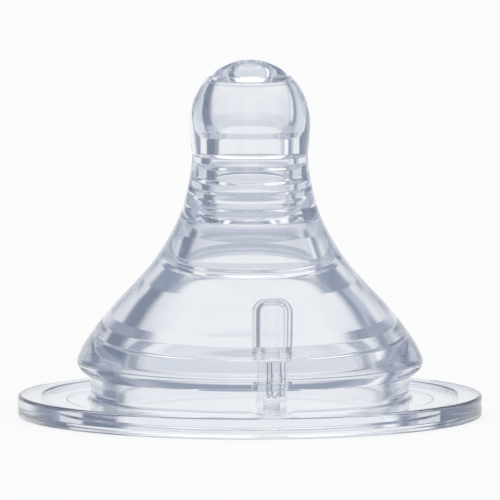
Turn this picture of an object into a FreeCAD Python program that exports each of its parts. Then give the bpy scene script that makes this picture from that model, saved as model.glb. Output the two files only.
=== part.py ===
import FreeCAD, Part
import math
import os

from FreeCAD import Vector

# A wide-neck feeding teat, moulded in one shot from clear liquid silicone rubber.
# Millimetres, +Z up. The origin is the centre of the flange's flat underside, which
# stands on the bottle rim. The vent is at the front, on the -Y side.
# The one moulding is cut face to face into its working zones, one node for each.

# ---- flange, which the screw ring clamps on the bottle rim ----
FLANGE_R = 27.5          # standard wide-neck flange, 55 mm across
FLANGE_EDGE = 0.25       # rounding of the lower outer edge
RIM_TOP = 2.55           # top of the raised outer rim
RIM_IN_R = 24.4          # inner side of the raised rim
RIM_LIP = 0.35           # rounding of the rim's two top edges
WEB_TOP = 2.15           # top of the flat web
PLUG_R = 21.7            # inside this the underside is relieved
PLUG_RELIEF = 0.35

# ---- neck, bead and bell, outside ----
NECK_R = 18.9
NECK_FILLET = 0.4
GROOVE_TOP = 4.7         # underside of the bead starts here
BEAD_R = 20.5
BEAD_Z = 6.45
BEAD_HALF = 0.75         # half height of the bead's outer face
BEAD_FALL = (0.25, 0.2)  # how far that face falls back at its lower and upper end
BEAD_END = (19.35, 9.0)  # where the bead runs into the bell
BELL_OUT = [(16.8, 12.4), (14.1, 15.3), (11.6, 18.1), (9.7, 21.0), (8.28, 23.9), (7.4, 27.0)]
WAIST = (6.86, 31.0)     # narrowest outside, below the bulb

# ---- bulb and crown, outside ----
BULB_SIDE = (7.04, 32.7)
BULB_R = 7.16
BULB_Z = 34.6
BULB_ARC_R = 8.0         # arc of the bulb's side, above its widest place
CROWN_FOOT_Z = 40.25     # small notch between bulb and crown
CROWN_R = 4.35
CROWN_Z = 40.35          # the notch's inner corner
CROWN_OUT = [(4.07, 40.8), (3.0, 41.45), (1.9, 41.88)]
TOP_Z = 42.1
DIMPLE_R = 0.9           # shallow dimple that holds the feeding slit
DIMPLE_DEEP = 0.15

# ---- inside ----
MEMBRANE_Z = 41.2        # underside of the membrane that is slit
WELL_TOP_R = 1.45
WELL_R = 2.3
CEILING_Z = 39.45
CAVITY_TOP_R = 4.3
CAVITY_EDGE = 0.5
CAVITY = [(4.8, 37.6), (4.95, 36.2), (4.88, 34.9), (4.6, 33.8)]
RIB_CUT_R = 4.88         # the ribs stand inside this radius
# corners of the ribbed neck: radius, height, rounding
RIBBED = [(4.15, 33.1, 0.35), (4.15, 31.1, 0.25),      # rib 1
          (4.95, 30.75, 0.3), (4.95, 29.8, 0.3),
          (4.4, 29.2, 0.2), (4.33, 27.9, 0.3),         # rib 2
          (4.95, 27.4, 0.25), (4.95, 26.6, 0.25),
          (4.66, 26.2, 0.15), (4.66, 25.55, 0.15),     # rib 3
          (4.85, 25.2, 0.15), (4.85, 24.5, 0.2),
          (4.3, 24.1, 0.25), (4.3, 23.2, 0.25)]        # rib 4
# corners of the throat, the lip under it, the bell and the ledge on the neck
THROAT = [(6.8, 22.9, 0.45), (6.85, 20.8, 0.8), (7.7, 18.0, 0.6), (7.75, 17.2, 0.5)]
LIP = [(7.3, 16.5, 0.3), (8.3, 16.0, 0.3)]
BELL_IN = [(10.5, 13.95, 0.5), (13.8, 9.7, 0.4), (14.8, 8.8, 0.3)]
LEDGE_Z = 7.5
LEDGE_R = 15.4
LEDGE_EDGE = 0.1
BORE_R = 16.0

# ---- vent: a thimble, closed and slit at the top, on a block with a duct and an arched way in ----
VENT_X = 2.5             # beside the centre line
VENT_R = 8.3             # distance of the thimble from the axis
THIMBLE_R = 2.3
THIMBLE_LOW = 6.7
THIMBLE_TOP = 13.75
THIMBLE_EDGE = 2.0       # rounding of the closed top
HOLLOW_R = 1.5
HOLLOW_LOW = 8.0
HOLLOW_TOP = 13.0
HOLLOW_EDGE = 1.2
BLOCK_W = 3.4            # the block that joins the thimble to the neck
BLOCK_LOW = 1.8
BLOCK_TOP = 7.3
DUCT_R = 0.95            # the bore below the thimble's hollow
INLET_Z = 2.4            # floor of the duct and of the way in
INLET_W = 2.0
INLET_H = 1.5
HOOD_W = 4.85            # shallow arched recess round the way in
HOOD_H = 1.9
HOOD_DEEP = 0.45
ARCH_FOOT = 0.35         # share of an arch's height that is upright
SLIT_W = 0.08
VENT_SLIT_L = 1.6
FEED_SLIT_L = 1.5
SLIT_START = 0.5         # how far below the skin a slit's cutter starts
SLIT_TALL = 2.0

# ---- heights at which the moulding is cut into zones ----
GROOVE_CUT = 3.5         # in the groove, clear of flange and bead
SHOULDER_CUT = 14.3
THROAT_CUT = 18.0
NECK_LOW = 22.6          # the ribbed neck, which stretches, lies between these two
NECK_HIGH = 33.2
FAR = 60.0               # past everything


def at(r, z):
    """A point of the half section: radius along X, height along Z."""
    return Vector(r, 0, z)


def lines(points):
    """Straight edges through the points."""
    places = [at(*p) for p in points]
    return [Part.LineSegment(a, b).toShape() for a, b in zip(places, places[1:])]


def arc(start, middle, end):
    """A circular edge through three points."""
    return Part.Arc(at(*start), at(*middle), at(*end)).toShape()


def corner(centre, radius, start_deg, end_deg):
    """A rounded corner: part of a circle, given by its centre and two directions."""
    def spot(degrees):
        turn = math.radians(degrees)
        return (centre[0] + radius * math.cos(turn), centre[1] + radius * math.sin(turn))
    return arc(spot(start_deg), spot((start_deg + end_deg) / 2), spot(end_deg))


def smooth(points, first=None, last=None):
    """Cubic edges through the points. Each point's direction runs parallel to the line between
    its two neighbours, or is given at the ends, and each handle is a third of its span long."""
    places = [at(*p) for p in points]
    ways = [b - a for a, b in zip(places, places[2:])]
    ways = [at(*first) if first else places[1] - places[0], *ways,
            at(*last) if last else places[-1] - places[-2]]
    edges = []
    for i, (start, end) in enumerate(zip(places, places[1:])):
        third = (end - start).Length / 3
        curve = Part.BezierCurve()
        curve.setPoles([start, start + Vector(ways[i]).normalize() * third,
                        end - Vector(ways[i + 1]).normalize() * third, end])
        edges.append(curve.toShape())
    return edges


def flange_outline():
    """Underside, side and top of the flange, up to the foot of the neck."""
    side, lip, fillet = FLANGE_R, RIM_LIP, NECK_FILLET
    edges = lines([(BORE_R, PLUG_RELIEF), (PLUG_R, PLUG_RELIEF), (PLUG_R, 0), (side - FLANGE_EDGE, 0)])
    edges.append(corner((side - FLANGE_EDGE, FLANGE_EDGE), FLANGE_EDGE, -90, 0))
    edges += lines([(side, FLANGE_EDGE), (side, RIM_TOP - lip)])
    edges.append(corner((side - lip, RIM_TOP - lip), lip, 0, 90))
    edges += lines([(side - lip, RIM_TOP), (RIM_IN_R + lip, RIM_TOP)])
    edges.append(corner((RIM_IN_R + lip, RIM_TOP - lip), lip, 90, 180))
    edges += lines([(RIM_IN_R, RIM_TOP - lip), (RIM_IN_R, WEB_TOP), (NECK_R + fillet, WEB_TOP)])
    edges.append(corner((NECK_R + fillet, WEB_TOP + fillet), fillet, -90, -180))
    return edges


def bell_outline():
    """Groove, bead, bell and ribbed neck, outside, up to the waist under the bulb."""
    edges = lines([(NECK_R, WEB_TOP + NECK_FILLET), (NECK_R, GROOVE_TOP)])
    low, high = BEAD_Z - BEAD_HALF, BEAD_Z + BEAD_HALF
    edges += smooth([(NECK_R, GROOVE_TOP), (BEAD_R - BEAD_FALL[0], low), (BEAD_R, BEAD_Z),
                     (BEAD_R - BEAD_FALL[1], high), BEAD_END, *BELL_OUT, WAIST], (1, 0.35), (0, 1))
    return edges


def head_outline():
    """Bulb and crown, outside, from the waist to the middle of the top."""
    centre_r = BULB_R - BULB_ARC_R

    def bulb_r(z):
        return centre_r + math.sqrt(BULB_ARC_R ** 2 - (z - BULB_Z) ** 2)

    middle_z = (BULB_Z + CROWN_FOOT_Z) / 2
    foot = (bulb_r(CROWN_FOOT_Z), CROWN_FOOT_Z)
    edges = smooth([WAIST, BULB_SIDE, (BULB_R, BULB_Z)], (0, 1), (0, 1))
    edges.append(arc((BULB_R, BULB_Z), (bulb_r(middle_z), middle_z), foot))
    edges += lines([foot, (CROWN_R, CROWN_Z)])
    edges += smooth([(CROWN_R, CROWN_Z), *CROWN_OUT, (DIMPLE_R, TOP_Z)], (0, 1), (-1, 0))
    half_way = (DIMPLE_R / 2, TOP_Z - DIMPLE_DEEP * 3 / 4)
    edges.append(arc((DIMPLE_R, TOP_Z), half_way, (0, TOP_Z - DIMPLE_DEEP)))
    return edges


def rounded(corners):
    """Straight edges through corners of radius, height and rounding. The first and last stay sharp.
    A rounding touches its two edges at rounding / tan(half the corner's angle) from the corner."""
    places = [at(*c[:2]) for c in corners]
    edges, here = [], places[0]
    for before, peak, after, corner_data in zip(places, places[1:], places[2:], corners[1:]):
        radius = corner_data[2]
        back, onward = (before - peak).normalize(), (after - peak).normalize()
        half = back.getAngle(onward) / 2
        reach = radius / math.tan(half)
        centre = peak + (back + onward).normalize() * (radius / math.sin(half))
        first, last = peak + back * reach, peak + onward * reach
        middle = centre + (peak - centre).normalize() * radius
        edges += [Part.LineSegment(here, first).toShape(), Part.Arc(first, middle, last).toShape()]
        here = last
    return edges + [Part.LineSegment(here, places[-1]).toShape()]


def inner_outline():
    """The inside, from the membrane down to the open mouth of the neck."""
    edges = lines([(0, TOP_Z - DIMPLE_DEEP), (0, MEMBRANE_Z), (WELL_TOP_R, MEMBRANE_Z), (WELL_R, CEILING_Z),
                   (CAVITY_TOP_R - CAVITY_EDGE, CEILING_Z)])
    edges.append(corner((CAVITY_TOP_R - CAVITY_EDGE, CEILING_Z - CAVITY_EDGE), CAVITY_EDGE, 90, 0))
    edges += smooth([(CAVITY_TOP_R, CEILING_Z - CAVITY_EDGE), *CAVITY], (0.5, -1))
    ledge = [(LEDGE_R, LEDGE_Z, LEDGE_EDGE), (BORE_R, LEDGE_Z, LEDGE_EDGE), (BORE_R, PLUG_RELIEF)]
    return edges + rounded([CAVITY[-1], *RIBBED, *THROAT, *LIP, *BELL_IN, *ledge])


def window(r_in, r_out, z_low, z_high):
    """A rectangle of the half section, which cuts one zone out of it."""
    return Part.Face(Part.Wire(lines([(r_in, z_low), (r_out, z_low), (r_out, z_high), (r_in, z_high),
                                      (r_in, z_low)])))


def spun(face):
    """The solid that a face of the half section makes when it turns about Z."""
    return face.revolve(Vector(0, 0, 0), Vector(0, 0, 1), 360)


def capsule(radius, edge, foot_z, top_z, centre):
    """An upright round post whose top edge is rounded."""
    post = Part.makeCylinder(radius, top_z - foot_z, Vector(centre.x, centre.y, foot_z))
    top_edge = [e for e in post.Edges if abs(e.BoundBox.ZMin - top_z) < 1e-6 and e.BoundBox.ZLength < 1e-6]
    return post.makeFillet(edge, top_edge)


def arched(width, height, foot, start_y):
    """A passage with an arched roof, which runs outward along -Y beside the centre line."""
    half, spring = width / 2, height * ARCH_FOOT
    low_left, low_right = Vector(-half, 0, 0), Vector(half, 0, 0)
    left, right = Vector(-half, 0, spring), Vector(half, 0, spring)
    outline = [Part.LineSegment(low_left, low_right), Part.LineSegment(low_right, right),
               Part.Arc(right, Vector(0, 0, height), left), Part.LineSegment(left, low_left)]
    passage = Part.Face(Part.Wire([edge.toShape() for edge in outline])).extrude(Vector(0, -FAR, 0))
    passage.translate(Vector(VENT_X, start_y, foot))
    return passage


def vent_shapes():
    """The vent's outer form (thimble and block) and its hollows (hollow, duct, way in, hood, slit)."""
    centre = Vector(VENT_X, -math.sqrt(VENT_R ** 2 - VENT_X ** 2), 0)
    neck_y = -math.sqrt(NECK_R ** 2 - VENT_X ** 2)
    thimble = capsule(THIMBLE_R, THIMBLE_EDGE, THIMBLE_LOW, THIMBLE_TOP, centre)
    block = Part.makeBox(BLOCK_W, FAR, BLOCK_TOP - BLOCK_LOW,
                         Vector(centre.x - BLOCK_W / 2, centre.y + BLOCK_W / 2 - FAR, BLOCK_LOW))
    hollow = capsule(HOLLOW_R, HOLLOW_EDGE, HOLLOW_LOW, HOLLOW_TOP, centre)
    duct = Part.makeCylinder(DUCT_R, HOLLOW_LOW + DUCT_R - INLET_Z, centre + Vector(0, 0, INLET_Z))
    way_in = arched(INLET_W, INLET_H, INLET_Z, centre.y)
    hood = arched(HOOD_W, HOOD_H, WEB_TOP + 0.05, neck_y + HOOD_DEEP)
    slit = Part.makeBox(VENT_SLIT_L, SLIT_W, SLIT_TALL,
                        centre + Vector(-VENT_SLIT_L / 2, -SLIT_W / 2, HOLLOW_TOP - SLIT_START))
    inside = Part.makeCylinder((BORE_R + NECK_R) / 2, FAR)
    return thimble.fuse(block).common(inside).removeSplitter(), [hollow, duct, way_in, hood, slit]


def feeding_slit():
    """Three short cuts that meet in the middle of the top."""
    cuts = None
    for turn in (90, 210, 330):
        blade = Part.makeBox(FEED_SLIT_L / 2, SLIT_W, SLIT_TALL,
                             Vector(0, -SLIT_W / 2, MEMBRANE_Z - SLIT_START))
        blade.rotate(Vector(0, 0, 0), Vector(0, 0, 1), turn)
        cuts = blade if cuts is None else cuts.fuse(blade)
    return cuts


def zones(section):
    """Each working zone's name and solid: its part of the half section, turned about Z."""
    grooves = [RIBBED[i:i + 2] for i in (2, 6, 10)]
    rib_cuts = [NECK_HIGH] + [(top[1] + low[1]) / 2 for top, low in grooves] + [NECK_LOW]
    windows = {
        "flange_rim": window(RIM_IN_R, FAR, -FAR, GROOVE_CUT),
        "flange_web": window(NECK_R, RIM_IN_R, -FAR, GROOVE_CUT),
        "neck_wall": window(0, NECK_R, -FAR, LEDGE_Z),
        "retaining_bead": window(NECK_R, FAR, GROOVE_CUT, SHOULDER_CUT),
        "bell_wall": window(0, NECK_R, LEDGE_Z, SHOULDER_CUT),
        "bell_shoulder": window(0, FAR, SHOULDER_CUT, THROAT_CUT),
        "bell_throat": window(0, FAR, THROAT_CUT, NECK_LOW),
        "neck_sleeve": window(RIB_CUT_R, FAR, NECK_LOW, NECK_HIGH),
        "bulb_wall": window(0, FAR, NECK_HIGH, CEILING_Z),
        "crown_roof": window(WELL_TOP_R, FAR, CEILING_Z, FAR),
        "feeding_membrane": window(0, WELL_TOP_R, CEILING_Z, FAR),
    }
    for i, (high, low) in enumerate(zip(rib_cuts, rib_cuts[1:]), start=1):
        windows[f"neck_rib_{i}"] = window(0, RIB_CUT_R, low, high)
    return {name: spun(section.common(pane).Faces[0]) for name, pane in windows.items()}


def main():
    """Cut the moulding's zones, open the vent and the slits, and write one STEP file for each."""
    os.makedirs("parts", exist_ok=True)
    outline = flange_outline() + bell_outline() + head_outline() + inner_outline()
    section = Part.Face(Part.Wire(Part.__sortEdges__(outline)))
    print(f"half section: {len(outline)} edges, {section.Area:.1f} mm2, valid {section.isValid()}")
    nodes = zones(section)
    vent, hollows = vent_shapes()
    for name in ("neck_wall", "bell_wall", "bell_shoulder", "flange_web"):
        vent = vent.cut(nodes[name])
        for hollow in hollows:
            nodes[name] = nodes[name].cut(hollow)
    for hollow in hollows:
        vent = vent.cut(hollow)
    nodes["feeding_membrane"] = nodes["feeding_membrane"].cut(feeding_slit())
    foot = Part.makeBox(2 * FAR, 2 * FAR, FAR, Vector(-FAR, -FAR, BLOCK_TOP - FAR))
    nodes["vent_block"] = vent.common(foot)
    nodes["vent_thimble"] = vent.cut(foot)
    for name, shape in nodes.items():
        solids = shape.Solids
        box = shape.BoundBox
        print(f"{name}: {len(solids)} solid(s), {shape.Volume:.1f} mm3, valid {shape.isValid()}, "
              f"z {box.ZMin:.2f} to {box.ZMax:.2f}")
        part = solids[0] if len(solids) == 1 else Part.makeCompound(solids)
        part.exportStep(f"parts/{name}.step")


main()
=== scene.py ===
"""A clear silicone feeding teat for a wide-neck baby bottle, standing on its flange in a pale studio.

The real teat is one moulding, so the object is one closed, watertight skin: light then bends only where
silicone really meets air. The skin is a half section turned about the axis, to which the vent is added and
from which the vent's hollows and the slits are cut. Lengths are in millimetres up to the last step,
which makes them metres.
"""

import logging
import math
from dataclasses import dataclass, field
from enum import Enum

import bpy
import numpy as np
from mathutils import Matrix, Vector


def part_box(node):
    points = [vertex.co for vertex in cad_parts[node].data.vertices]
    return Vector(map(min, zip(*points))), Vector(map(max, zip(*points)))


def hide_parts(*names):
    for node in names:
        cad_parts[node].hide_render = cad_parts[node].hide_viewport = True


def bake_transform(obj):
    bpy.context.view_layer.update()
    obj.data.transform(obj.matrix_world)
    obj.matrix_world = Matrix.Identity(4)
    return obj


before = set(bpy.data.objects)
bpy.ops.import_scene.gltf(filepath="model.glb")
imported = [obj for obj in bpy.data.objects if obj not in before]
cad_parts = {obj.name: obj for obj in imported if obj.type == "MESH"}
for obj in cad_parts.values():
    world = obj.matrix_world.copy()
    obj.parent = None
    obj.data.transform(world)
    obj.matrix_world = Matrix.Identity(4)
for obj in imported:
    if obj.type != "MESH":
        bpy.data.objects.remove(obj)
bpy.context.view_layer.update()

MM = 0.001
INNER = "moulded_on_core"
STRAIGHT = math.radians(89)    # half the angle at a corner that counts as straight
MIX_SHARE, MIX_UNDER, MIX_OVER, MIX_RESULT = 0, 6, 7, 2    # sockets of a Mix node for colours
TINY = 1e-3                     # keeps the step across a full circle from having no width

log = logging.getLogger("teat")


class Cut(Enum):
    """How one solid is combined with another."""

    ADD = "UNION"
    TAKE = "DIFFERENCE"


# ---------------------------------------------------------------- outlines


def node_box(node: str) -> tuple[np.ndarray, np.ndarray]:
    """Lowest and highest corner of a CAD node.

    Args:
        node: the node's name.

    Returns:
        Two corners in millimetres.
    """
    low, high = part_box(node)
    return np.array(low) / MM, np.array(high) / MM


def line(start: tuple, end: tuple, step: float = 1.2, guard: float = 0.06) -> np.ndarray:
    """Points of a straight run, a + (b - a) t, with one close to each end.

    The close points keep the shading of a flat face flat right up to its rounded edge.

    Args:
        start: radius and height of the first end.
        end: radius and height of the other end.
        step: longest distance between points.
        guard: distance of the close points from the ends.

    Returns:
        An array of (radius, height) rows.
    """
    a, b = np.array(start, float), np.array(end, float)
    length = float(np.hypot(*(b - a)))
    if length < 3 * guard:
        return np.array([a, b])
    count = max(2, math.ceil(length / step) + 1)
    inner = np.linspace(guard, length - guard, count)
    t = np.concatenate(([0.0], inner, [length])) / length
    return a + (b - a) * t[:, None]


def arc(centre: tuple, radius: float, start: float, end: float, step_deg: float = 12.0) -> np.ndarray:
    """Points of a circular stretch, centre + radius (cos a, sin a).

    Args:
        centre: radius and height of the circle's centre.
        radius: the circle's radius.
        start: first direction in degrees.
        end: last direction in degrees.
        step_deg: largest turn between points.

    Returns:
        An array of (radius, height) rows.
    """
    count = max(3, math.ceil(abs(end - start) / step_deg) + 1)
    turn = np.radians(np.linspace(start, end, count))
    return np.array(centre) + radius * np.stack((np.cos(turn), np.sin(turn)), axis=1)


def smooth(points: list, first: tuple | None = None, last: tuple | None = None,
           step: float = 0.22) -> np.ndarray:
    """Points of a chain of cubic curves through the given ones.

    Each point's direction runs parallel to the line between its two neighbours, and each handle is a
    third of its span long, so a span is (1-t)^3 a + 3 (1-t)^2 t h + 3 (1-t) t^2 k + t^3 b.

    Args:
        points: radius and height of each point.
        first: direction at the first point.
        last: direction at the last point.
        step: distance between the points made.

    Returns:
        An array of (radius, height) rows.
    """
    p = np.array(points, float)
    ways = np.empty_like(p)
    ways[1:-1] = p[2:] - p[:-2]
    ways[0] = first if first else p[1] - p[0]
    ways[-1] = last if last else p[-1] - p[-2]
    ways /= np.linalg.norm(ways, axis=1)[:, None]
    spans = []
    for a, b, u, v in zip(p, p[1:], ways, ways[1:]):
        third = np.linalg.norm(b - a) / 3
        t = np.linspace(0, 1, max(3, math.ceil(3 * third / step) + 1))[:, None]
        spans.append((1 - t) ** 3 * a + 3 * (1 - t) ** 2 * t * (a + u * third)
                     + 3 * (1 - t) * t ** 2 * (b - v * third) + t ** 3 * b)
    return np.concatenate(spans)


def rounded(points: list, radii: list) -> np.ndarray:
    """Straight runs through the points, with each inner corner rounded.

    A corner's arc touches both runs at radius / tan(half the corner's angle) from the corner. A corner that
    has no radius or hardly turns stays as it is.

    Args:
        points: radius and height of each corner and of the two ends.
        radii: rounding radius of each inner corner.

    Returns:
        An array of (radius, height) rows.
    """
    p = [np.array(q, float) for q in points]
    runs, here = [], p[0]
    for before, corner, after, radius in zip(p, p[1:], p[2:], radii):
        u = (before - corner) / np.linalg.norm(before - corner)
        v = (after - corner) / np.linalg.norm(after - corner)
        half = math.acos(float(np.clip(u @ v, -1, 1))) / 2
        if radius <= 0 or half > STRAIGHT:
            runs.append(line(here, corner))
            here = corner
            continue
        reach = radius / math.tan(half)
        bisector = (u + v) / np.linalg.norm(u + v)
        centre = corner + bisector * radius / math.sin(half)
        a, b = corner + u * reach - centre, corner + v * reach - centre
        start = math.degrees(math.atan2(a[1], a[0]))
        turn = math.degrees(math.atan2(a[0] * b[1] - a[1] * b[0], a @ b))
        runs += [line(here, corner + u * reach), arc(centre, radius, start, start + turn, 15)]
        here = corner + v * reach
    runs.append(line(here, p[-1]))
    return np.concatenate(runs)


def joined(*stretches: np.ndarray) -> np.ndarray:
    """One outline from several stretches, with repeated points left out.

    Args:
        stretches: arrays of (radius, height) rows, in order.

    Returns:
        One array of (radius, height) rows.
    """
    p = np.concatenate(stretches)
    keep = np.concatenate(([True], np.hypot(*np.diff(p, axis=0).T) > 1e-4))
    return p[keep]


# ---------------------------------------------------------------- meshes


def mesh_object(name: str, points: np.ndarray, faces: list) -> bpy.types.Object:
    """A mesh object in metres from points in millimetres.

    Args:
        name: the object's name.
        points: an array of x, y, z rows.
        faces: lists or arrays of corner numbers.

    Returns:
        The new object, linked to the scene.
    """
    mesh = bpy.data.meshes.new(name)
    mesh.from_pydata((points * MM).tolist(), [], [tuple(f) for f in faces])
    mesh.validate()
    ob = bpy.data.objects.new(name, mesh)
    bpy.context.scene.collection.objects.link(ob)
    return ob


def turned(name: str, outline: np.ndarray, segments: int) -> bpy.types.Object:
    """A solid of revolution: (r, z) goes to (r cos a, r sin a, z), and both ends close in a pole.

    Args:
        name: the object's name.
        outline: (radius, height) rows whose first and last radius is 0.
        segments: number of steps round the axis.

    Returns:
        A closed mesh object with outward faces.
    """
    rows = outline[1:-1]
    turn = np.linspace(0, 2 * math.pi, segments, endpoint=False)
    grid = np.empty((len(rows), segments, 3))
    grid[..., 0] = rows[:, :1] * np.cos(turn)
    grid[..., 1] = rows[:, :1] * np.sin(turn)
    grid[..., 2] = rows[:, 1:]
    poles = np.array([(0, 0, outline[0, 1]), (0, 0, outline[-1, 1])])
    points = np.concatenate((grid.reshape(-1, 3), poles))
    i = np.arange(len(rows) - 1)[:, None] * segments
    j = np.arange(segments)[None, :]
    k = (j + 1) % segments
    quads = np.stack((i + j, i + j + segments, i + k + segments, i + k), axis=-1).reshape(-1, 4)
    first, last = len(points) - 2, len(points) - 1
    top, end = j[0], (len(rows) - 1) * segments
    fan_a = np.stack((np.full(segments, first), top, k[0]), axis=1)
    fan_b = np.stack((np.full(segments, last), end + k[0], end + top), axis=1)
    ob = mesh_object(name, points, [*quads.tolist(), *fan_a.tolist(), *fan_b.tolist()])
    outward(ob)
    return ob


def prism(name: str, loop: np.ndarray, depth: float) -> bpy.types.Object:
    """A closed prism: a flat loop in X and Z, carried along Y from 0 to depth.

    Args:
        name: the object's name.
        loop: x, z rows of the loop.
        depth: length along Y.

    Returns:
        A closed mesh object with outward faces.
    """
    n = len(loop)
    front = np.insert(loop, 1, 0.0, axis=1)
    back = np.insert(loop, 1, depth, axis=1)
    j = np.arange(n)
    sides = np.stack((j, (j + 1) % n, (j + 1) % n + n, j + n), axis=1).tolist()
    ob = mesh_object(name, np.concatenate((front, back)), [*sides, list(j[::-1]), list(j + n)])
    outward(ob)
    return ob


def outward(ob: bpy.types.Object) -> None:
    """Turns a closed mesh right side out: its signed volume, the sum of a . (b x c) / 6, is made positive.

    Args:
        ob: the mesh object.
    """
    mesh = ob.data
    mesh.calc_loop_triangles()
    co = np.empty(len(mesh.vertices) * 3)
    mesh.vertices.foreach_get("co", co)
    corners = np.empty(len(mesh.loop_triangles) * 3, np.int32)
    mesh.loop_triangles.foreach_get("vertices", corners)
    a, b, c = co.reshape(-1, 3)[corners.reshape(-1, 3)].transpose(1, 0, 2)
    if np.einsum("ij,ij->i", a, np.cross(b, c)).sum() < 0:
        mesh.flip_normals()


def placed(ob: bpy.types.Object, at: np.ndarray) -> bpy.types.Object:
    """Moves a mesh's points, so that the object stays at the origin.

    Args:
        ob: the mesh object.
        at: where its origin goes, in millimetres.

    Returns:
        The same object.
    """
    ob.data.transform(Matrix.Translation(Vector(np.array(at, float) * MM)))
    return ob


def combined(ob: bpy.types.Object, tool: bpy.types.Object, how: Cut) -> None:
    """Adds a solid to a mesh or takes it away, then deletes the tool.

    Args:
        ob: the mesh that changes.
        tool: the solid that is added or taken away.
        how: which of the two.
    """
    modifier = ob.modifiers.new("cut", "BOOLEAN")
    modifier.operation = how.value
    modifier.solver = "EXACT"
    modifier.object = tool
    graph = bpy.context.evaluated_depsgraph_get()
    made = bpy.data.meshes.new_from_object(ob.evaluated_get(graph))
    old = ob.data
    ob.modifiers.clear()
    ob.data = made
    made.name = ob.name
    bpy.data.meshes.remove(old)
    bpy.data.objects.remove(tool)


# ---------------------------------------------------------------- the teat's zones


@dataclass
class Flange:
    """The flat disc that the screw ring clamps on the bottle's rim."""

    radius: float = field(default_factory=lambda: float(node_box("flange_rim")[1][0]))
    rim_top: float = field(default_factory=lambda: float(node_box("flange_rim")[1][2]))
    rim_in: float = field(default_factory=lambda: float(node_box("flange_web")[1][0]))
    bore: float = 16.0
    web_top: float = 2.15
    plug: float = 21.7
    relief: float = 0.35
    edge: float = 0.25
    lip: float = 0.35
    inner_lip: float = 0.315
    mouth_edge: float = 0.2
    plug_edge: float = 0.1
    web_corner: float = 0.04
    fillet: float = 0.4
    bore_rise: float = 1.0
    neck_rise: float = 0.8

    def outline(self, neck: float) -> np.ndarray:
        """The flange's section, from the bore's mouth round to the foot of the neck.

        Args:
            neck: outer radius of the neck.

        Returns:
            An array of (radius, height) rows.
        """
        corners = [(self.bore, self.relief + self.bore_rise), (self.bore, self.relief),
                   (self.plug, self.relief), (self.plug, 0), (self.radius, 0), (self.radius, self.rim_top),
                   (self.rim_in, self.rim_top), (self.rim_in, self.web_top), (neck, self.web_top),
                   (neck, self.web_top + self.neck_rise)]
        return rounded(corners, [self.mouth_edge, self.plug_edge, self.plug_edge, self.edge, self.lip,
                                 self.inner_lip, self.web_corner, self.fillet])


@dataclass
class Bell:
    """Neck, retaining bead and flared bell, outside, up to the waist under the bulb."""

    neck: float = field(default_factory=lambda: float(node_box("neck_wall")[1][0]))
    bead: float = field(default_factory=lambda: float(node_box("retaining_bead")[1][0]))
    groove_top: float = field(default_factory=lambda: float(node_box("retaining_bead")[0][2]))
    bead_z: float = 6.45
    bead_half: float = 0.75
    bead_fall: tuple = (0.25, 0.2)
    take_off: tuple = (1, 0.35)
    flank: tuple = ((19.35, 9.0), (16.8, 12.4), (14.1, 15.3), (11.6, 18.1), (9.7, 21.0), (8.28, 23.9),
                    (7.4, 27.0))
    waist: tuple = (6.86, 31.0)
    neck_top: float = 0.5

    def outline(self) -> np.ndarray:
        """The outside from the neck, over the bead, up to the waist.

        Returns:
            An array of (radius, height) rows.
        """
        low, high = self.bead_fall
        bead = [(self.neck, self.groove_top), (self.bead - low, self.bead_z - self.bead_half),
                (self.bead, self.bead_z), (self.bead - high, self.bead_z + self.bead_half)]
        return joined(line((self.neck, self.groove_top - self.neck_top), (self.neck, self.groove_top)),
                      smooth([*bead, *self.flank, self.waist], self.take_off, (0, 1)))


@dataclass
class Head:
    """Bulb and crown, outside, with the shallow dimple at the top."""

    bulb: float = field(default_factory=lambda: float(node_box("bulb_wall")[1][0]))
    top: float = field(default_factory=lambda: float(node_box("feeding_membrane")[1][2]))
    bulb_side: tuple = (7.04, 32.7)
    bulb_z: float = 34.6
    bulb_arc: float = 8.0
    crown_foot: float = 40.25
    crown: tuple = ((4.35, 40.35), (4.07, 40.8), (3.0, 41.45), (1.9, 41.88))
    dimple: float = 0.9
    dimple_deep: float = 0.15
    fine: float = 0.12

    def outline(self, waist: tuple) -> np.ndarray:
        """The outside from the waist to the middle of the top.

        Args:
            waist: radius and height where the bell ends.

        Returns:
            An array of (radius, height) rows.
        """
        lean = math.degrees(math.asin((self.crown_foot - self.bulb_z) / self.bulb_arc))
        side = arc((self.bulb - self.bulb_arc, self.bulb_z), self.bulb_arc, 0, lean, 1.5)
        below = smooth([waist, self.bulb_side, (self.bulb, self.bulb_z)], (0, 1), (0, 1))
        notch = line(tuple(side[-1]), self.crown[0])
        dome = smooth([*self.crown, (self.dimple, self.top)], (0, 1), (-1, 0), self.fine)
        half_way = (self.dimple / 2, self.top - self.dimple_deep * 3 / 4)
        floor = smooth([(self.dimple, self.top), half_way, (0, self.top - self.dimple_deep)],
                       (-1, 0), (-1, 0), self.fine)
        return joined(below, side, notch, dome, floor)


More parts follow.
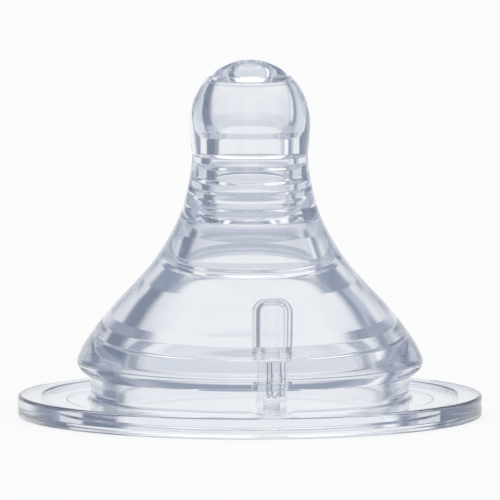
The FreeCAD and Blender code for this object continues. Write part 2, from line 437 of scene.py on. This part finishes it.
@dataclass
class Inside:
    """The inside: well under the membrane, tip cavity, inner ribs, throat, shoulder, bell and neck bore."""

    membrane: float = field(default_factory=lambda: float(node_box("feeding_membrane")[0][2]))
    well_top: float = 1.45
    well: float = 2.3
    ceiling: float = 39.45
    cavity_top: float = 4.3
    cavity_edge: float = 0.5
    cavity_gap: float = 0.02
    well_edges: tuple = (0.15, 0.12)
    take_off: tuple = (0.5, -1)
    cavity: tuple = ((4.8, 37.6), (4.95, 36.2), (4.88, 34.9), (4.6, 33.8))
    ribbed: tuple = ((4.15, 33.1, 0.35), (4.15, 31.1, 0.25),      # rib 1
                     (4.95, 30.75, 0.3), (4.95, 29.8, 0.3),
                     (4.4, 29.2, 0.2), (4.33, 27.9, 0.3),         # rib 2
                     (4.95, 27.4, 0.25), (4.95, 26.6, 0.25),
                     (4.66, 26.2, 0.15), (4.66, 25.55, 0.15),     # rib 3
                     (4.85, 25.2, 0.15), (4.85, 24.5, 0.2),
                     (4.3, 24.1, 0.25), (4.3, 23.2, 0.25))        # rib 4
    throat: tuple = ((6.8, 22.9, 0.45), (6.85, 20.8, 0.8), (7.7, 18.0, 0.6), (7.75, 17.2, 0.5))
    lip: tuple = ((7.3, 16.5, 0.3), (8.3, 16.0, 0.3))
    bell: tuple = ((10.5, 13.95, 0.5), (13.8, 9.7, 0.4), (14.8, 8.8, 0.3))
    ledge: tuple = (15.4, 7.5, 0.1)
    bore: float = 16.0
    foot: float = 1.35

    def outline(self) -> np.ndarray:
        """The inside from the middle of the membrane down into the neck bore.

        Returns:
            An array of (radius, height) rows.
        """
        top = self.ceiling - self.cavity_edge
        well = rounded([(0, self.membrane), (self.well_top, self.membrane), (self.well, self.ceiling),
                        (self.cavity_top, self.ceiling), (self.cavity_top, top - self.cavity_gap)],
                       [*self.well_edges, self.cavity_edge - self.cavity_gap])
        side = smooth([(self.cavity_top, top), *self.cavity], self.take_off)
        corners = [*self.ribbed, *self.throat, *self.lip, *self.bell, self.ledge,
                   (self.bore, *self.ledge[1:])]
        places, radii = [corner[:2] for corner in corners], [corner[2] for corner in corners]
        return joined(well, side, rounded([self.cavity[-1], *places, (self.bore, self.foot)], radii))


@dataclass(frozen=True)
class Arch:
    """A passage with an arched roof: straight sides up to a share of its height, then half an ellipse."""

    width: float
    height: float
    upright: float = 0.35
    steps: int = 25

    def loop(self) -> np.ndarray:
        """The passage's outline: x = w / 2 cos a and z = spring + (h - spring) sin a above the springing.

        Returns:
            x, z rows.
        """
        spring = self.height * self.upright
        t = np.linspace(0, math.pi, self.steps)
        roof = np.stack((self.width / 2 * np.cos(t), spring + (self.height - spring) * np.sin(t)), axis=1)
        return np.concatenate(([(-self.width / 2, 0), (self.width / 2, 0)], roof))


@dataclass
class Vent:
    """The air vent: a thimble, closed and slit at the top, on a block with a duct and an arched way in."""

    offset: float = 2.5
    reach: float = 8.3
    thimble: float = 2.3
    thimble_edge: float = 2.0
    low: float = 6.7
    top: float = 13.75
    hollow: float = 1.5
    hollow_edge: float = 1.2
    hollow_low: float = 8.0
    hollow_top: float = 13.0
    block_width: float = 3.4
    block_low: float = 1.8
    block_top: float = 7.3
    duct: float = 0.95
    foot_edge: float = 0.1
    inlet_z: float = 2.4
    inlet: Arch = Arch(2.0, 1.5)
    inlet_long: float = 20.0
    hood: Arch = Arch(4.85, 1.9)
    hood_deep: float = 0.45
    hood_long: float = 3.0
    hood_lift: float = 0.05
    slit: tuple = (1.6, 0.08)
    slit_reach: tuple = (-0.5, 1.5)
    steps: tuple = (72, 64, 48)

    def post(self, radius: float, edge: float, low: float, high: float) -> np.ndarray:
        """Outline of an upright post with a rounded top edge.

        Args:
            radius: the post's radius.
            edge: rounding of its top edge.
            low: height of its foot.
            high: height of its top.

        Returns:
            An array of (radius, height) rows.
        """
        return joined(rounded([(0, low), (radius, low), (radius, high), (0, high)], [self.foot_edge, edge]))

    def build(self, teat: bpy.types.Object, neck: float, bore: float, web_top: float) -> None:
        """Adds the thimble and its block to the teat and cuts the hollows.

        Args:
            teat: the teat's skin, which is changed.
            neck: outer radius of the neck.
            bore: inner radius of the neck.
            web_top: height of the flange's web.
        """
        centre = np.array([self.offset, -math.sqrt(self.reach ** 2 - self.offset ** 2), 0])
        neck_y = -math.sqrt(neck ** 2 - self.offset ** 2)
        side = self.block_width / 2
        block = np.array([(-side, self.block_low), (side, self.block_low), (side, self.block_top),
                          (-side, self.block_top)])
        depth = (neck + bore) / 2 + centre[1] + side
        combined(teat, placed(prism("block", block, -depth), centre + [0, side, 0]), Cut.ADD)
        outside, inside, narrow = self.steps
        thimble = self.post(self.thimble, self.thimble_edge, self.low, self.top)
        combined(teat, placed(turned("thimble", thimble, outside), centre), Cut.ADD)
        hollow = self.post(self.hollow, self.hollow_edge, self.hollow_low, self.hollow_top)
        combined(teat, placed(turned("hollow", hollow, inside), centre), Cut.TAKE)
        duct = self.post(self.duct, self.foot_edge, self.inlet_z, self.hollow_low + self.duct)
        combined(teat, placed(turned("duct", duct, narrow), centre), Cut.TAKE)
        way_in = prism("way_in", self.inlet.loop(), -self.inlet_long)
        combined(teat, placed(way_in, centre + [0, 0, self.inlet_z]), Cut.TAKE)
        hood = prism("hood", self.hood.loop(), -self.hood_long)
        at = np.array([self.offset, neck_y + self.hood_deep, web_top + self.hood_lift])
        combined(teat, placed(hood, at), Cut.TAKE)
        half, wide = self.slit[0] / 2, self.slit[1]
        low, high = self.slit_reach
        blade = prism("slit", np.array([(-half, low), (half, low), (half, high), (-half, high)]), wide)
        combined(teat, placed(blade, centre + [0, -wide / 2, self.hollow_top]), Cut.TAKE)


# ---------------------------------------------------------------- finishes


def linear(hex_colour: str) -> tuple[float, float, float, float]:
    """An sRGB hex colour as linear values: c / 12.92 below 0.04045, else ((c + 0.055) / 1.055) ^ 2.4.

    Args:
        hex_colour: six hex digits.

    Returns:
        Linear red, green and blue, and an alpha of 1.
    """
    c = np.array([int(hex_colour[i:i + 2], 16) for i in (0, 2, 4)]) / 255
    c = np.where(c <= 0.04045, c / 12.92, ((c + 0.055) / 1.055) ** 2.4)
    return (*c.tolist(), 1.0)


def add(tree: bpy.types.NodeTree, kind: str, values: dict | None = None, **links) -> bpy.types.Node:
    """Adds a node, sets its inputs and attributes, and links sockets into it.

    Args:
        tree: the node tree.
        kind: the node's type.
        values: attribute or input names and what they are set to.
        links: input names, with _ for a space, and the sockets that feed them.

    Returns:
        The new node.
    """
    node = tree.nodes.new(kind)
    for name, value in (values or {}).items():
        if name in node.inputs:
            node.inputs[name].default_value = value
        else:
            setattr(node, name, value)
    for name, socket in links.items():
        tree.links.new(socket, node.inputs[name.replace("_", " ")])
    return node


@dataclass(frozen=True)
class ClearSilicone:
    """Liquid silicone rubber, injection moulded: a polished cavity outside, a finely blasted core inside.

    That gives the eye a clear, glossy skin with a breath of blue, a faint haze from the inner wall, and a
    blue-grey look wherever the light's way through the rubber is long.
    """

    tint: str = "FFFFFF"
    deep: str = "CCD2DE"
    density: float = 16.0
    ior: float = 1.41
    polished: float = 0.015
    blasted: float = 0.10

    def material(self) -> bpy.types.Material:
        """Builds the material.

        Returns:
            The material.
        """
        made = bpy.data.materials.new("clear_liquid_silicone_rubber")
        made.use_nodes = True
        tree = made.node_tree
        tree.nodes.clear()
        side = add(tree, "ShaderNodeAttribute", {"attribute_name": INNER}).outputs["Fac"]
        rough = add(tree, "ShaderNodeMapRange", {"To Min": self.polished, "To Max": self.blasted},
                    Value=side)
        skin = add(tree, "ShaderNodeBsdfPrincipled", {
            "Base Color": linear(self.tint), "Transmission Weight": 1.0, "IOR": self.ior},
            Roughness=rough.outputs[0])
        body = add(tree, "ShaderNodeVolumeAbsorption", {"Color": linear(self.deep), "Density": self.density})
        add(tree, "ShaderNodeOutputMaterial", Surface=skin.outputs[0], Volume=body.outputs[0])
        return made


@dataclass(frozen=True)
class LightTable:
    """White opal acrylic, sanded and lit evenly from below: pale, with almost no shadow on it."""

    colour: str = "FFFFFF"
    glow: float = 0.82
    diffuse: str = "6E6E6E"
    sanded: float = 0.9

    def material(self) -> bpy.types.Material:
        """Builds the material.

        Returns:
            The material.
        """
        made = bpy.data.materials.new("opal_acrylic_light_table")
        made.use_nodes = True
        skin = made.node_tree.nodes["Principled BSDF"]
        skin.inputs["Base Color"].default_value = linear(self.diffuse)
        skin.inputs["Roughness"].default_value = self.sanded
        skin.inputs["Specular IOR Level"].default_value = 0.0
        skin.inputs["Emission Color"].default_value = linear(self.colour)
        skin.inputs["Emission Strength"].default_value = self.glow
        return made


# ---------------------------------------------------------------- the teat


@dataclass
class Teat:
    """The whole moulding."""

    flange: Flange = field(default_factory=Flange)
    bell: Bell = field(default_factory=Bell)
    head: Head = field(default_factory=Head)
    inside: Inside = field(default_factory=Inside)
    vent: Vent = field(default_factory=Vent)
    segments: int = 240
    feed_slit: tuple = (1.5, 0.08)
    slit_reach: tuple = (-1.5, 1.0)
    slit_turns: tuple = (90, 210, 330)
    crown_skin: float = 0.5
    sharp_deg: float = 32.0

    def outline(self) -> np.ndarray:
        """The half section, from the middle of the top over the outside and back up the inside.

        Returns:
            An array of (radius, height) rows.
        """
        flange = self.flange.outline(self.bell.neck)
        return joined(self.head.outline(self.bell.waist)[::-1], self.bell.outline()[::-1], flange[::-1],
                      self.inside.outline()[::-1])

    def build(self) -> bpy.types.Object:
        """Turns the section, adds the vent and cuts the slits.

        Returns:
            The finished object.
        """
        outline = self.outline()
        outline[0, 0] = outline[-1, 0] = 0.0
        ob = turned("silicone_teat", outline, self.segments)
        log.info("skin: %d points in the section, %d faces", len(outline), len(ob.data.polygons))
        self.vent.build(ob, self.bell.neck, self.inside.bore, self.flange.web_top)
        half, wide = self.feed_slit[0] / 2, self.feed_slit[1]
        low, high = self.slit_reach
        for turn in self.slit_turns:
            blade = prism("feed_cut", np.array([(0, low), (half, low), (half, high), (0, high)]), wide)
            placed(blade, np.array([0, -wide / 2, 0]))
            blade.data.transform(Matrix.Rotation(math.radians(turn), 4, "Z"))
            combined(ob, placed(blade, np.array([0, 0, self.head.top])), Cut.TAKE)
        log.info("with the vent and the slits: %d faces", len(ob.data.polygons))
        return ob

    def mark_inside(self, ob: bpy.types.Object) -> None:
        """Marks the points that the mould's core shaped: 1 where the radius is nearer the inner outline's.

        Args:
            ob: the finished object.
        """
        outer = joined(self.bell.outline(), self.head.outline(self.bell.waist))
        inner = self.inside.outline()[::-1]
        co = np.empty(len(ob.data.vertices) * 3)
        ob.data.vertices.foreach_get("co", co)
        co = co.reshape(-1, 3) / MM
        r, z = np.hypot(co[:, 0], co[:, 1]), co[:, 2]
        out_r = np.interp(z, outer[:, 1], outer[:, 0])
        in_r = np.interp(z, inner[:, 1], inner[:, 0])
        inside = ((r < (out_r + in_r) / 2) & (z < self.head.top - self.crown_skin)).astype(np.float32)
        ob.data.attributes.new(INNER, "FLOAT", "POINT").data.foreach_set("value", inside)

    def dress(self, ob: bpy.types.Object) -> None:
        """Gives the teat its material, smooth shading and place in the table.

        Args:
            ob: the finished object.
        """
        ob.data.materials.clear()
        ob.data.materials.append(ClearSilicone().material())
        self.mark_inside(ob)
        ob.data.shade_smooth()
        ob.data.set_sharp_from_angle(angle=math.radians(self.sharp_deg))
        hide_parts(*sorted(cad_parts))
        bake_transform(ob)


# ---------------------------------------------------------------- studio


def maths(tree: bpy.types.NodeTree, kind: str, *inputs) -> bpy.types.NodeSocket:
    """Adds a Math node.

    Args:
        tree: the node tree.
        kind: the operation.
        inputs: numbers or sockets.

    Returns:
        The node's result.
    """
    node = add(tree, "ShaderNodeMath", {"operation": kind})
    for socket, value in zip(node.inputs, inputs):
        if isinstance(value, bpy.types.NodeSocket):
            tree.links.new(value, socket)
        else:
            socket.default_value = value
    return node.outputs[0]


def smooth_step(tree: bpy.types.NodeTree, value: bpy.types.NodeSocket, low: float,
                high: float) -> bpy.types.NodeSocket:
    """A smooth step from 0 at low to 1 at high.

    Args:
        tree: the node tree.
        value: what is measured.
        low: where the step is 0.
        high: where it is 1.

    Returns:
        The step's result.
    """
    settings = {"interpolation_type": "SMOOTHSTEP", "From Min": low, "From Max": high}
    return add(tree, "ShaderNodeMapRange", settings, Value=value).outputs[0]


@dataclass(frozen=True)
class Panel:
    """A soft-edged rectangle of the surround, in degrees: azimuth 0 is straight behind the teat."""

    colour: str
    azimuth: float
    height: float
    half_width: float
    half_height: float
    edge: float
    strength: float = 1.0

    def share(self, tree: bpy.types.NodeTree, azimuth: bpy.types.NodeSocket,
              height: bpy.types.NodeSocket) -> bpy.types.NodeSocket:
        """How much of the panel shows in a direction: a smooth step across each edge, by the turn's cosine.

        Args:
            tree: the world's node tree.
            azimuth: the direction's azimuth in radians.
            height: the direction's height above the horizon in radians.

        Returns:
            0 outside the panel, 1 inside.
        """
        turn = maths(tree, "COSINE", maths(tree, "SUBTRACT", azimuth, math.radians(self.azimuth)))
        lift = maths(tree, "COSINE", maths(tree, "SUBTRACT", height, math.radians(self.height)))
        wide = smooth_step(tree, turn, math.cos(math.radians(min(self.half_width + self.edge, 180))) - TINY,
                           math.cos(math.radians(self.half_width)))
        tall = smooth_step(tree, lift, math.cos(math.radians(self.half_height + self.edge)),
                           math.cos(math.radians(self.half_height)))
        return maths(tree, "MULTIPLY", wide, tall)


@dataclass
class Studio:
    """A pale table, a blue-grey surround with pale panels and darker cloths, and the camera."""

    distance: float = 950.0
    height: float = 100.3
    aim: float = 19.6
    lens: float = 580.0
    floor_radius: float = 12000.0
    floor_steps: int = 96
    floor_gap: float = 0.05
    clip: tuple = (0.05, 60.0)
    bounces: int = 32
    glossy_bounces: int = 16
    room: str = "BDC4D2"
    panels: tuple = (
        Panel("7C869A", -46, 2, 30, 28, 8),            # left flag
        Panel("8A94A8", 54, -2, 11, 24, 6),            # right flag
        Panel("F4F6FA", 95, 8, 34, 20, 14, 1.15),      # right wall
        Panel("EFF1F5", 0, -4, 24, 60, 6),             # backdrop, straight behind, swept up from the table
        Panel("8F99AD", 0, 28, 30, 12, 8),             # darker cloth across the backdrop
        Panel("D6DBE4", 0, -20, 30, 4, 4),             # fold where the backdrop meets the table
        Panel("BDC4D2", 0, -58, 180, 22, 12),          # light table
        Panel("FFFFFF", 180, 0, 14, 14, 6),            # the same backdrop seen from the other three sides
        Panel("FFFFFF", 90, 0, 10, 14, 6),
        Panel("FFFFFF", -90, 0, 10, 14, 6),
        Panel("FFFFFF", 0, 90, 180, 42, 8, 1.3),       # overhead soft box
    )

    def floor(self) -> None:
        """A large round table top just under the teat."""
        turn = np.linspace(0, 2 * math.pi, self.floor_steps, endpoint=False)
        ring = np.stack((np.cos(turn), np.sin(turn), np.zeros_like(turn)), axis=1) * self.floor_radius
        ob = mesh_object("table_top", ring - [0, 0, self.floor_gap], [list(range(self.floor_steps))])
        ob.data.materials.append(LightTable().material())
        ob.visible_transmission = False    # through the silicone, the surround shows in the table's place

    def surround(self) -> None:
        """The light all round: a blue-grey room with one soft-edged panel laid over another."""
        world = bpy.data.worlds.new("soft_surround")
        bpy.context.scene.world = world
        world.use_nodes = True
        tree = world.node_tree
        tree.nodes.clear()
        way = add(tree, "ShaderNodeTexCoord").outputs["Generated"]
        xyz = add(tree, "ShaderNodeSeparateXYZ", Vector=way).outputs
        azimuth = maths(tree, "ARCTAN2", xyz["X"], xyz["Y"])
        height = maths(tree, "ARCSINE", xyz["Z"])
        light = add(tree, "ShaderNodeRGB").outputs[0]
        light.default_value = linear(self.room)
        for panel in self.panels:
            node = add(tree, "ShaderNodeMix", {"data_type": "RGBA"})
            tree.links.new(panel.share(tree, azimuth, height), node.inputs[MIX_SHARE])
            tree.links.new(light, node.inputs[MIX_UNDER])
            colour = [c * panel.strength for c in linear(panel.colour)[:3]]
            node.inputs[MIX_OVER].default_value = (*colour, 1.0)
            light = node.outputs[MIX_RESULT]
        shine = add(tree, "ShaderNodeBackground", {"Strength": 1.0}, Color=light)
        add(tree, "ShaderNodeOutputWorld", Surface=shine.outputs[0])

    def camera(self) -> None:
        """A long lens a little above the table, level with the teat's front."""
        data = bpy.data.cameras.new("camera")
        data.lens = self.lens
        data.clip_start, data.clip_end = self.clip
        ob = bpy.data.objects.new("camera", data)
        bpy.context.scene.collection.objects.link(ob)
        eye, target = Vector((0, -self.distance, self.height)) * MM, Vector((0, 0, self.aim)) * MM
        ob.location = eye
        ob.rotation_euler = (target - eye).to_track_quat("-Z", "Y").to_euler()
        bpy.context.scene.camera = ob

    def build(self) -> None:
        """Sets up table, surround, camera and how the light is carried through the silicone."""
        self.floor()
        self.surround()
        self.camera()
        scene = bpy.context.scene
        scene.view_settings.view_transform = "Standard"
        scene.cycles.max_bounces = self.bounces
        scene.cycles.transmission_bounces = self.bounces
        scene.cycles.glossy_bounces = self.glossy_bounces


def main() -> None:
    """Builds the teat and the studio."""
    logging.basicConfig(level=logging.INFO, format="%(name)s: %(message)s")
    teat = Teat()
    ob = teat.build()
    teat.dress(ob)
    Studio().build()
    log.info("piece %s finished", ob.name)


if __name__ == "__main__":
    main()
